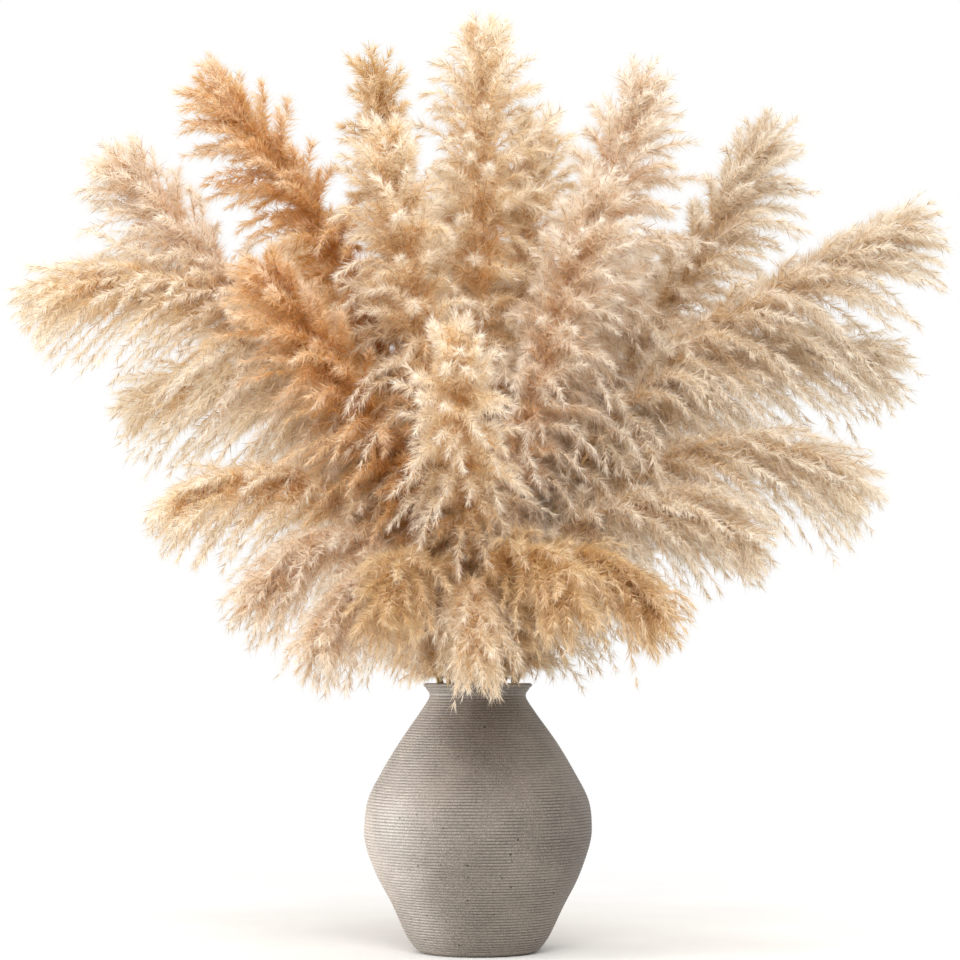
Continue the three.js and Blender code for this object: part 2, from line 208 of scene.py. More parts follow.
@dataclass
class Nodes:
    """A material's node tree, with short ways to add to it."""

    name: str
    material: bpy.types.Material = field(init=False)

    def __post_init__(self) -> None:
        """Starts an empty tree."""
        self.material = bpy.data.materials.new(self.name)
        self.material.use_nodes = True
        self.material.node_tree.nodes.clear()

    def add(self, kind: str, inputs: dict[str | int, object] | None = None, **settings: object) -> bpy.types.Node:
        """Adds a node.

        Args:
            kind: the node's type name, without its leading "ShaderNode".
            inputs: for each input's name or number, a value or the output socket that feeds it.
            settings: the node's own settings.

        Returns:
            The node.
        """
        node = self.material.node_tree.nodes.new("ShaderNode" + kind)
        for key, value in settings.items():
            setattr(node, key, value)
        for key, value in (inputs or {}).items():
            if isinstance(value, bpy.types.NodeSocket):
                self.material.node_tree.links.new(value, node.inputs[key])
            else:
                node.inputs[key].default_value = value
        return node

    def math(self, operation: str, *values: object, clamp: bool = False) -> bpy.types.NodeSocket:
        """The output of a Math node that takes numbers or sockets."""
        inputs = dict(enumerate(values))
        return self.add("Math", inputs, operation=operation, use_clamp=clamp).outputs[0]

    def ramp(self, share: bpy.types.NodeSocket, stops: list[tuple[float, str]]) -> bpy.types.NodeSocket:
        """The colour of a Color Ramp.

        Args:
            share: the output that moves along the ramp, from 0 to 1.
            stops: places on the ramp, from low to high, with their screen colours.

        Returns:
            The ramp's colour output.
        """
        node = self.add("ValToRGB", {0: share})
        elements = node.color_ramp.elements
        while len(elements) < len(stops):
            elements.new(0.5)
        for element, (place, code) in zip(elements, stops):
            element.position = place
            element.color = linear(code)
        return node.outputs[0]

    def noise(self, where: bpy.types.NodeSocket, scale: float, detail: float = 2.0) -> bpy.types.NodeSocket:
        """A smooth random value round 0.5, with so many waves in one unit of the coordinates."""
        return self.add("TexNoise", {"Vector": where, "Scale": scale, "Detail": detail}).outputs[0]

    def ease(self, value: bpy.types.NodeSocket, start: float, end: float) -> bpy.types.NodeSocket:
        """0 where a value is at start, 1 where it is at end, and a smooth step between them."""
        limits = {0: value, 1: start, 2: end}
        return self.add("MapRange", limits, interpolation_type="SMOOTHSTEP").outputs[0]

    def over(
        self, under: bpy.types.NodeSocket, share: bpy.types.NodeSocket | float, code: str, way: str = "MIX"
    ) -> bpy.types.NodeSocket:
        """Lays a colour over another.

        Args:
            under: the colour below.
            share: how much of the new colour there is, from 0 to 1.
            code: the new colour on a screen.
            way: the Mix node's way of blending.

        Returns:
            The colour that both make.
        """
        return self.add("MixRGB", {0: share, 1: under, 2: linear(code)}, blend_type=way).outputs[0]

    def finish(self, shader: bpy.types.NodeSocket) -> bpy.types.Material:
        """Puts a shader on the surface and gives the finished material."""
        self.add("OutputMaterial", {"Surface": shader})
        return self.material


class Tone(Enum):
    """The plumes' colours, each named as in the part's record."""

    CREAM = "cream"
    BLUSH = "blush"
    TAN = "tan"
    AMBER = "amber"
    SAND = "sand"


@dataclass(frozen=True)
class HairFinish:
    """Silky plume hair: deep in tone inside the plume and pale outside, partly its own colour and partly painted
    shade, and darker low in the bundle, a painted shade where the plumes above shade it.

    A few of the hairs are brown husks. Much of the light goes through a hair, and comes out a little warmer.
    """

    tone: Tone
    deep: str
    middle: str
    pale: str
    middle_at: float = 0.42  # the shade that has the middle colour
    pale_at: float = 0.86  # and the one that has the pale colour
    by_reach: float = 0.7  # how much each of five values adds to the shade
    by_hair: float = 0.3
    by_branch: float = 0.26
    by_patch: float = 0.3
    by_grain: float = 0.5
    shade_from: float = 0.49  # what comes off their sum
    patch_waves: float = 22.0  # a metre
    low_painted_shade: str = "#f0e7da"  # painted shade that multiplies the colour low in the bundle, where the plumes above shade it
    low_from: float = 0.52  # the height that the painted shade sets in below
    low_at: float = 0.34  # the height that it is full at
    pale_spared: float = 0.75  # the share of it that the palest hairs don't take
    husk: str = "#9a7248"
    husk_share: float = 0.09
    husk_strength: float = 0.55
    strips: int = 300  # rows of the UV map, one for each branch that a plume may have
    roughness: float = 0.72
    gloss: float = 0.25
    clearness: float = 0.7
    glow: str = "#fffcf2"  # multiplies the light that passes through a hair

    def material(self) -> bpy.types.Material:
        """Builds the finish. U is the distance along a branch over the plume's reach; V is the branch's number
        plus the place along a hair; the piece's "grain" attribute is a random value for each hair.

        The shade is by_reach * U + by_hair * (place along the hair) + by_branch * (a value for each branch)
        + by_patch * (soft patches) + by_grain * grain - shade_from. The painted shade low in the bundle is
        multiplied in by (a smooth step down the height) * (1 - pale_spared * shade).

        Returns:
            The material.
        """
        nodes = Nodes("hair_" + self.tone.value)
        place = nodes.add("SeparateXYZ", {0: nodes.add("UVMap", uv_map=MAP_NAME).outputs[0]})
        row = nodes.math("MULTIPLY", place.outputs[1], float(self.strips))
        along_hair = nodes.math("FRACT", row)
        of_branch = nodes.add("TexWhiteNoise", {"W": nodes.math("FLOOR", row)}, noise_dimensions="1D").outputs[0]
        grain = nodes.add("Attribute", attribute_name="grain").outputs["Fac"]
        where = nodes.add("TexCoord").outputs["Object"]
        patches = nodes.noise(where, self.patch_waves)
        # Deeper towards the middle line and at the hairs' roots: partly the hair's own colour, partly painted shade
        # deep in the plume.
        shade = nodes.math("MULTIPLY", place.outputs[0], self.by_reach)
        values = (along_hair, of_branch, patches, grain)
        for value, weight in zip(values, (self.by_hair, self.by_branch, self.by_patch, self.by_grain)):
            shade = nodes.math("MULTIPLY_ADD", value, weight, shade)
        shade = nodes.math("SUBTRACT", shade, self.shade_from, clamp=True)
        silk = nodes.ramp(shade, [(0.0, self.deep), (self.middle_at, self.middle), (self.pale_at, self.pale)])
        # Painted shade low in the bundle, where the plumes above shade it, spared on the palest hairs.
        low = nodes.ease(nodes.add("SeparateXYZ", {0: where}).outputs[2], self.low_from, self.low_at)
        low = nodes.math("MULTIPLY", low, nodes.math("MULTIPLY_ADD", shade, -self.pale_spared, 1.0))
        shaded_low = nodes.over(silk, low, self.low_painted_shade, "MULTIPLY")
        is_husk = nodes.math("GREATER_THAN", grain, 1.0 - self.husk_share)
        colour = nodes.over(shaded_low, nodes.math("MULTIPLY", is_husk, self.husk_strength), self.husk)
        coat = {"Base Color": colour, "Roughness": self.roughness, "Specular IOR Level": self.gloss}
        surface = nodes.add("BsdfPrincipled", coat)
        through = nodes.add("BsdfTranslucent", {"Color": nodes.over(colour, 1.0, self.glow, "MULTIPLY")})
        both = nodes.add("MixShader", {0: self.clearness, 1: surface.outputs[0], 2: through.outputs[0]})
        return nodes.finish(both.outputs[0])


@dataclass(frozen=True)
class StrawFinish:
    """Dry straw: stalks and the middle lines of plumes and branches, streaked along their length."""

    name: str
    dark: str
    light: str
    streaks: float = 9.0  # across the UV map's width
    stretch: float = 0.04  # of a streak, against its width
    streak_waves: float = 6.0  # of the noise in one streak's width
    patch_waves: float = 34.0  # a metre
    by_streak: float = 0.6  # how much each value adds to the shade
    by_patch: float = 0.5
    dark_at: float = 0.3  # the shade that has the dark colour
    light_at: float = 0.8
    roughness: float = 0.5
    relief: float = 0.0004  # how high the streaks stand
    relief_strength: float = 0.4

    def material(self) -> bpy.types.Material:
        """Builds the finish: long streaks on the UV map, over patches that follow the object.

        Returns:
            The material.
        """
        nodes = Nodes(self.name)
        own = nodes.add("UVMap", uv_map=MAP_NAME).outputs[0]
        drawn = nodes.add("Mapping", {0: own, "Scale": (self.streaks, self.streaks * self.stretch, 1.0)})
        streak = nodes.noise(drawn.outputs[0], self.streak_waves, 4.0)
        where = nodes.add("TexCoord").outputs["Object"]
        patch = nodes.noise(where, self.patch_waves)
        streaked = nodes.math("MULTIPLY", streak, self.by_streak)
        shade = nodes.math("MULTIPLY_ADD", patch, self.by_patch, streaked, clamp=True)
        colour = nodes.ramp(shade, [(self.dark_at, self.dark), (self.light_at, self.light)])
        bump = nodes.add("Bump", {"Height": streak, "Strength": self.relief_strength, "Distance": self.relief})
        coat = {"Base Color": colour, "Roughness": self.roughness, "Normal": bump.outputs[0]}
        return nodes.finish(nodes.add("BsdfPrincipled", coat).outputs[0])


@dataclass(frozen=True)
class Dots:
    """Round dots of mixed sizes, scattered over a surface."""

    cells: float  # a metre, each of which may hold a dot
    share: float  # of the cells that hold one
    size: float  # the largest dot's radius, over a cell's width
    smallest: float = 0.4  # the smallest dot's radius, over the largest one's

    def on(self, nodes: Nodes, where: bpy.types.NodeSocket) -> bpy.types.NodeSocket:
        """Adds the dots to a tree. A cell's own random values say whether it holds a dot, and how large a one.

        Args:
            nodes: the tree to add to.
            where: the coordinates.

        Returns:
            1 in a dot and 0 elsewhere.
        """
        cells = nodes.add("TexVoronoi", {"Vector": where, "Scale": self.cells})
        chance = nodes.add("SeparateXYZ", {0: cells.outputs["Color"]})
        kept = nodes.math("GREATER_THAN", chance.outputs[0], 1.0 - self.share)
        part = nodes.math("MULTIPLY_ADD", chance.outputs[1], 1.0 - self.smallest, self.smallest)
        radius = nodes.math("MULTIPLY", nodes.math("MULTIPLY", kept, part), self.size)
        return nodes.math("LESS_THAN", cells.outputs["Distance"], radius)


@dataclass(frozen=True)
class StonewareFinish:
    """Unglazed stoneware: sandy, clouded and pitted, with painted shade in the grooves that is fainter in patches,
    and a few iron specks.
    """

    clay_dark: str = "#453d36"
    clay_light: str = "#90867b"
    # the painted shade in the grooves
    groove: str = "#241f1a"
    pit: str = "#2b241e"
    cloud_waves: float = 11.0  # a metre
    sand_waves: float = 760.0
    by_cloud: float = 0.4  # how much each value adds to the shade
    by_sand: float = 0.9
    dark_at: float = 0.45  # the shade that has the dark clay's colour
    light_at: float = 0.82
    fade_waves: float = 24.0  # of the patches where the grooves' painted shade is fainter
    faintest_at: float = 0.38  # the wave's value where it is faintest
    fullest_at: float = 0.6
    least_groove_shade: float = 0.4  # of the grooves' painted shade, where it is faintest
    specks: Dots = Dots(105.0, 0.3, 0.15)
    pits: Dots = Dots(420.0, 0.4, 0.28)
    pit_strength: float = 0.5
    smoothest: float = 0.45  # the roughness where there is no sand
    rough_by_sand: float = 0.3
    gloss: float = 0.6
    hole_depth: float = 0.8  # over the sand's height
    relief: float = 0.0008  # the sand's height
    relief_strength: float = 0.35

    def material(self) -> bpy.types.Material:
        """Builds the finish from the piece's "groove" attribute, which lays painted shade in the grooves, and
        patterns on Object coordinates.

        Returns:
            The material.
        """
        nodes = Nodes("stoneware")
        where = nodes.add("TexCoord").outputs["Object"]
        clouds = nodes.noise(where, self.cloud_waves, 3.0)
        sand = nodes.noise(where, self.sand_waves, 4.0)
        clouded = nodes.math("MULTIPLY", clouds, self.by_cloud)
        grain = nodes.math("MULTIPLY_ADD", sand, self.by_sand, clouded, clamp=True)
        clay = nodes.ramp(grain, [(self.dark_at, self.clay_dark), (self.light_at, self.clay_light)])
        # Painted shade in the grooves: the groove colour laid over the clay by each groove's depth, fainter in
        # patches.
        groove = nodes.add("Attribute", attribute_name="groove").outputs["Fac"]
        fading = nodes.noise(where, self.fade_waves)
        limits = {0: fading, 1: self.faintest_at, 2: self.fullest_at, 3: self.least_groove_shade, 4: 1.0}
        groove_shade_share = nodes.add("MapRange", limits).outputs[0]
        groove_shaded = nodes.over(clay, nodes.math("MULTIPLY", groove, groove_shade_share), self.groove)
        specks = self.specks.on(nodes, where)
        pits = nodes.math("MULTIPLY", self.pits.on(nodes, where), self.pit_strength)
        holes = nodes.math("MAXIMUM", specks, pits)
        colour = nodes.over(groove_shaded, holes, self.pit)
        rough = nodes.math("MULTIPLY_ADD", sand, self.rough_by_sand, self.smoothest)
        height = nodes.math("SUBTRACT", sand, nodes.math("MULTIPLY", holes, self.hole_depth))
        bump = nodes.add("Bump", {"Height": height, "Strength": self.relief_strength, "Distance": self.relief})
        coat = {"Base Color": colour, "Roughness": rough, "Specular IOR Level": self.gloss}
        surface = nodes.add("BsdfPrincipled", {**coat, "Normal": bump.outputs[0]})
        return nodes.finish(surface.outputs[0])


@dataclass(frozen=True)
class PaperFinish:
    """The pale paper that the vase stands on, which grows plain white away from it."""

    dark: str = "#e9e7e4"
    light: str = "#f4f3f1"
    plain_from: float = 0.35  # metres from the vase's axis
    plain_at: float = 1.5
    mottle_waves: float = 3.0
    roughness: float = 0.9
    gloss: float = 0.1

    def material(self) -> bpy.types.Material:
        """Builds a matt, faintly mottled white, and mixes in a white glow by the distance from the vase.

        Returns:
            The material.
        """
        nodes = Nodes("paper")
        where = nodes.add("TexCoord").outputs["Object"]
        mottle = nodes.noise(where, self.mottle_waves, 4.0)
        colour = nodes.ramp(mottle, [(0.3, self.dark), (0.7, self.light)])
        coat = {"Base Color": colour, "Roughness": self.roughness, "Specular IOR Level": self.gloss}
        surface = nodes.add("BsdfPrincipled", coat)
        distance = nodes.add("VectorMath", {0: where}, operation="LENGTH").outputs["Value"]
        plain = nodes.ease(distance, self.plain_from, self.plain_at)
        glow = nodes.add("Emission", {0: WHITE, 1: 1.0})
        both = nodes.add("MixShader", {0: plain, 1: surface.outputs[0], 2: glow.outputs[0]})
        return nodes.finish(both.outputs[0])


# ---- Vase ----


@dataclass
class Vase:
    """One turned pot with fine ribs outside, a smooth inside and a rounded lip."""

    wall: float = 0.0065
    floor: float = 0.009
    foot_radius: float = 0.058
    inner_floor_radius: float = 0.062
    height: float = 0.310
    neck_height: float = 0.296
    outline: tuple[tuple[float, float], ...] = (
        (0.0720, 0.004),
        (0.0830, 0.019),
        (0.0990, 0.053),
        (0.1175, 0.088),
        (0.1300, 0.123),
        (0.1322, 0.147),
        (0.1280, 0.176),
        (0.1130, 0.206),
        (0.0920, 0.241),
        (0.0675, 0.276),
        (0.0566, 0.294),
        (0.0600, 0.303),
        (0.0635, 0.307),
    )
    foot_rise: float = 0.0010  # of the underside's edge, where it is foot_share of the way to the wall
    foot_share: float = 0.6
    bowl: float = 0.008  # how far above the floor the inside turns in
    ribs: int = 94
    rib_depth: float = 0.0007
    rows_per_rib: int = 6
    columns: int = 108
    inside_rows: int = 40
    stretch_points: int = 60  # on the outline's curve between two of its points
    lip_rows: int = 7
    wobble: float = 0.00025  # of the hand-turned wall
    wobble_above: float = 0.02  # the height that it is full from
    finish: StonewareFinish = StonewareFinish()

    def side(self, count: int) -> np.ndarray:
        """Radius and height along the outside, evenly spaced: a curve through the outline's points.

        Each stretch is a Catmull-Rom curve: with ends b and c between neighbours a and d, the point at s is
        b + (c - a) s / 2 + (2a - 5b + 4c - d) s^2 / 2 + (3b - a - 3c + d) s^3 / 2.

        Args:
            count: points to give.

        Returns:
            An array of shape (count, 2).
        """
        points = np.array(self.outline)
        padded = np.concatenate([points[:1], points, points[-1:]])
        a, b, c, d = padded[:-3, None], padded[1:-2, None], padded[2:-1, None], padded[3:, None]
        s = np.linspace(0.0, 1.0, self.stretch_points, endpoint=False)[None, :, None]
        curve = b + (c - a) * s / 2 + (2 * a - 5 * b + 4 * c - d) * s**2 / 2 + (3 * b - a - 3 * c + d) * s**3 / 2
        curve = np.concatenate([curve.reshape(-1, 2), points[-1:]])
        run = np.concatenate([[0.0], np.cumsum(np.linalg.norm(np.diff(curve, axis=0), axis=1))])
        wanted = np.linspace(0.0, run[-1], count)
        return np.stack([np.interp(wanted, run, curve[:, i]) for i in (0, 1)], axis=-1)

    def radius_at(self, heights: np.ndarray) -> np.ndarray:
        """The outer radius at heights up the vase, between the 400 points of its outside."""
        side = self.side(400)
        return np.interp(heights, side[:, 1], side[:, 0])

    def holds(self, points: np.ndarray, margin: float) -> np.ndarray:
        """Tells which points are in the vase or nearer to it than a margin.

        Args:
            points: an array whose last axis holds x, y and z.
            margin: the clear distance wanted.

        Returns:
            True for each point that is too near.
        """
        across = np.linalg.norm(points[..., :2], axis=-1)
        return (points[..., 2] < self.height + margin) & (across < self.radius_at(points[..., 2]) + margin)

    def beside(self, points: np.ndarray, radius: float, drop: float = 0.0) -> np.ndarray:
        """Tells which points lie lower than the rim, by more than a drop, and within a radius of the axis."""
        return (points[..., 2] < self.height - drop) & (np.linalg.norm(points[..., :2], axis=-1) < radius)

    def profile(self) -> tuple[np.ndarray, np.ndarray]:
        """The whole line of the wall, from the middle of the underside up, over the lip and down inside.

        A rib's groove is (1 - |sin(pi * ribs * share)|)^2 deep, where share runs from 0 to 1 up the outside.

        Returns:
            Radius and height, of shape (n, 2), and the depth of the groove at each point, from 0 to 1.
        """
        rows = self.ribs * self.rows_per_rib + 1
        outside = self.side(rows)
        groove = (1.0 - np.abs(np.sin(math.pi * self.ribs * np.linspace(0.0, 1.0, rows)))) ** 2
        ends = np.minimum(1.0, np.minimum(np.arange(rows), np.arange(rows)[::-1]) / self.rows_per_rib)
        groove = groove * ends
        outside[:, 0] -= self.rib_depth * groove
        foot_edge = mix(self.foot_radius, self.outline[0][0], self.foot_share)
        under = np.array([[0.0, 0.0], [self.foot_radius, 0.0], [foot_edge, self.foot_rise]])
        rim, rim_height = self.outline[-1]
        turn = np.linspace(0.0, math.pi, self.lip_rows + 2)[1:-1]
        lip_radii = rim - self.wall / 2 + self.wall / 2 * np.cos(turn)
        lip = np.stack([lip_radii, rim_height + (self.height - rim_height) * np.sin(turn)], axis=-1)
        heights = np.linspace(self.neck_height, self.floor + self.bowl, self.inside_rows)
        inside = np.stack([self.radius_at(heights) - self.wall, heights], axis=-1)
        ends_at = np.array([[self.inner_floor_radius, self.floor], [0.0, self.floor]])
        line = np.concatenate([under, outside, lip, inside, ends_at])
        depth = np.zeros(len(line))
        depth[len(under) : len(under) + rows] = groove
        return line, depth

    def build(self) -> bpy.types.Object:
        """Turns the profile round the Z axis and dresses it.

        A point at angle a and profile place p is (r cos a, r sin a, z), with r moved by
        wobble * (sin(3a + 40z) + sin(5a - 70z)) on the outside.

        Returns:
            The vase's piece.
        """
        line, depth = self.profile()
        angles = np.linspace(0.0, 2.0 * math.pi, self.columns, endpoint=False)[None, :]
        radius, height = line[1:-1, :1], line[1:-1, 1:]
        waves = np.sin(3 * angles + 40 * height) + np.sin(5 * angles - 70 * height)
        radius = radius + self.wobble * waves * np.minimum(1.0, height / self.wobble_above)
        rings = np.stack([radius * np.cos(angles), radius * np.sin(angles), height + 0.0 * angles], axis=-1)
        count = len(line) - 2
        corners = np.concatenate([rings.reshape(-1, 3), [[0, 0, line[0, 1]], [0, 0, line[-1, 1]]]])
        around = np.arange(self.columns)
        onward = (around + 1) % self.columns
        last = (count - 1) * self.columns
        under = np.stack([np.full(self.columns, len(corners) - 2), onward, around], axis=-1)
        floor = np.stack([np.full(self.columns, len(corners) - 1), last + around, last + onward], axis=-1)
        faces = np.concatenate([ring_walls(count, self.columns), under, floor])
        mesh = bpy.data.meshes.new("stoneware_vase")
        mesh.from_pydata(corners.tolist(), [], faces.tolist())
        # The groove's depth at each corner, which the finish also uses for its painted shade in the grooves.
        shades = np.concatenate([np.repeat(depth[1:-1], self.columns), [0.0, 0.0]]).astype(np.float32)
        mesh.attributes.new("groove", "FLOAT", "POINT").data.foreach_set("value", shades)
        mesh.polygons.foreach_set("use_smooth", np.ones(len(faces), bool))
        mesh.materials.append(self.finish.material())
        piece = linked("stoneware_vase", mesh)
        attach(piece, "root")
        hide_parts("vase")
        return piece


# ---- Stems ----


@dataclass(frozen=True)
class Stem:
    """One stem: where it passes the neck, where it ends and how it gets there. Its parts share its number."""

    neck: tuple[float, float]  # distance from the vase's axis, and angle in degrees
    tip: tuple[float, float, float]
    rise: float  # how far it keeps the way it leaves the neck
    slope: float  # degrees above the level that its tip points
    length: float  # of the plume
    reach: float  # the plume's longest branch
    tone: Tone


@dataclass
class StemLine:
    """The middle line of a stem, which can be read at any distance along it."""

    stem: Stem
    foot_turn: float = 115.0  # degrees that the foot is round the vase from the stem's place in the neck
    foot_scale: float = 1.1  # the foot's distance from the axis, over that in the neck
    foot_radius: float = 0.003
    neck_height: float = 0.296  # as on the vase
    vase_floor: float = 0.009
    clearance: float = 0.0003  # under the foot, and between the stalk and its plume
    pull: float = 0.35  # how far the arch keeps the tip's way, over the distance from the neck
    samples: int = 400
    line: np.ndarray = field(init=False)
    run: np.ndarray = field(init=False)
    plume_from: float = field(init=False)

    def __post_init__(self) -> None:
        """Works out the line: straight from the foot to the neck, then a cubic Bezier curve to the tip.

        The curve's inner points lie rise beyond the neck, on the way out of it, and pull times the distance
        before the tip, against the tip's way.
        """
        radius, degrees = self.stem.neck
        neck = polar(radius, degrees, self.neck_height)
        foot = polar(radius * self.foot_scale, degrees + self.foot_turn, self.vase_floor)
        way = unit(neck - foot)
        foot[2] += self.clearance + self.foot_radius * math.hypot(way[0], way[1])
        tip = np.array(self.stem.tip)
        slope = math.radians(self.stem.slope)
        outward = polar(math.cos(slope), math.degrees(math.atan2(tip[1], tip[0])), math.sin(slope))
        before = tip - outward * self.pull * np.linalg.norm(tip - neck)
        s = np.linspace(0.0, 1.0, self.samples)[:, None]
        after = neck + way * self.stem.rise
        arch = neck * (1 - s) ** 3 + 3 * after * s * (1 - s) ** 2 + 3 * before * s**2 * (1 - s) + tip * s**3
        self.line = np.concatenate([foot[None], arch])
        self.run = np.concatenate([[0.0], np.cumsum(np.linalg.norm(np.diff(self.line, axis=0), axis=1))])
        self.plume_from = self.run[-1] - self.stem.length

    @property
    def aside(self) -> np.ndarray:
        """A level direction square to the plane that the stem leans in."""
        return unit(np.array([-self.stem.tip[1], self.stem.tip[0], 0.0]))

    def at(self, distances: np.ndarray) -> np.ndarray:
        """The line's points at distances from the foot."""
        return np.stack([np.interp(distances, self.run, self.line[:, i]) for i in range(3)], axis=-1)

    def ways(self, distances: np.ndarray) -> np.ndarray:
        """The unit way on at distances from the foot, from the points 2 mm before and behind."""
        step = 0.002
        before = np.maximum(distances - step, 0.0)
        behind = np.minimum(distances + step, self.run[-1])
        return unit(self.at(behind) - self.at(before))


@dataclass
class Stalk:
    """The bare straw below a plume, with a slight swelling at each joint."""

    line: StemLine
    top_radius: float = 0.0025
    joint_every: float = 0.14
    joint_swelling: float = 0.0004
    joint_length: float = 0.004
    sides: int = 10
    spacing: float = 0.006  # between rings

    def build(self, number: str, finish: bpy.types.Material) -> bpy.types.Object:
        """Carries a round section along the line, whose radius is widest at its joints.

        It is (the stalk's radius) - joint_swelling * (1 - exp(-(distance to a joint / joint_length)^2)).

        Args:
            number: the stem's number.
            finish: the straw's material.

        Returns:
            The stalk's piece.
        """
        end = self.line.plume_from - self.line.clearance
        distances = np.linspace(0.0, end, round(end / self.spacing))
        to_joint = (distances + self.joint_every / 2) % self.joint_every - self.joint_every / 2
        swelling = self.joint_swelling * np.exp(-((to_joint / self.joint_length) ** 2))
        radii = mix(self.line.foot_radius, self.top_radius, distances / end) - self.joint_swelling + swelling
        corners = tube(self.line.at(distances), self.line.ways(distances), self.line.aside, radii, self.sides)
        around = np.broadcast_to(np.arange(self.sides) / self.sides, corners.shape[:2])
        along = np.broadcast_to(distances[:, None], corners.shape[:2])
        places = np.stack([around, along], axis=-1).reshape(-1, 2)
        surface = Surface(corners.reshape(-1, 3), tube_faces(len(distances), self.sides), places)
        piece = surface.mesh("straw_" + number, smooth=True)
        piece.data.materials.append(finish)
        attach(piece, "root")
        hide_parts("stalk_" + number)
        return piece


@dataclass
class Branches:
    """The branches of one plume, as arrays: each leaves the plume's line, sags, and sways a little.

    A branch's point at s, from 0 to 1, is root + start * s - up * drop * s^2 + sway * s^2 (1 - s).
    """

    root: np.ndarray
    start: np.ndarray
    drop: np.ndarray
    sway: np.ndarray
    share: np.ndarray  # its length over that of the longest there may be

    def at(self, owner: np.ndarray, s: np.ndarray) -> np.ndarray:
        """Points on branches, for branch numbers and places along them that have one shape."""
        s = s[..., None]
        fall = self.drop[owner][..., None] * s**2 * Z
        return self.root[owner] + self.start[owner] * s - fall + self.sway[owner] * s**2 * (1 - s)

    def ways(self, owner: np.ndarray, s: np.ndarray) -> np.ndarray:
        """The unit way on at places along branches: the derivative of the point by s."""
        s = s[..., None]
        fall = 2 * self.drop[owner][..., None] * s * Z
        return unit(self.start[owner] - fall + self.sway[owner] * (2 * s - 3 * s**2))

    @property
    def samples(self) -> np.ndarray:
        """Twelve points on each branch, from near its root to its tip."""
        owner, s = np.meshgrid(np.arange(len(self.drop)), np.linspace(0.15, 1.0, 12), indexing="ij")
        return self.at(owner, s)

    @property
    def lengths(self) -> np.ndarray:
        """Each branch's length, near enough: that of its start, which the sag hardly changes."""
        return np.linalg.norm(self.start, axis=-1)

    def kept(self, mask: np.ndarray) -> "Branches":
        """The branches where mask is true."""
        return Branches(self.root[mask], self.start[mask], self.drop[mask], self.sway[mask], self.share[mask])


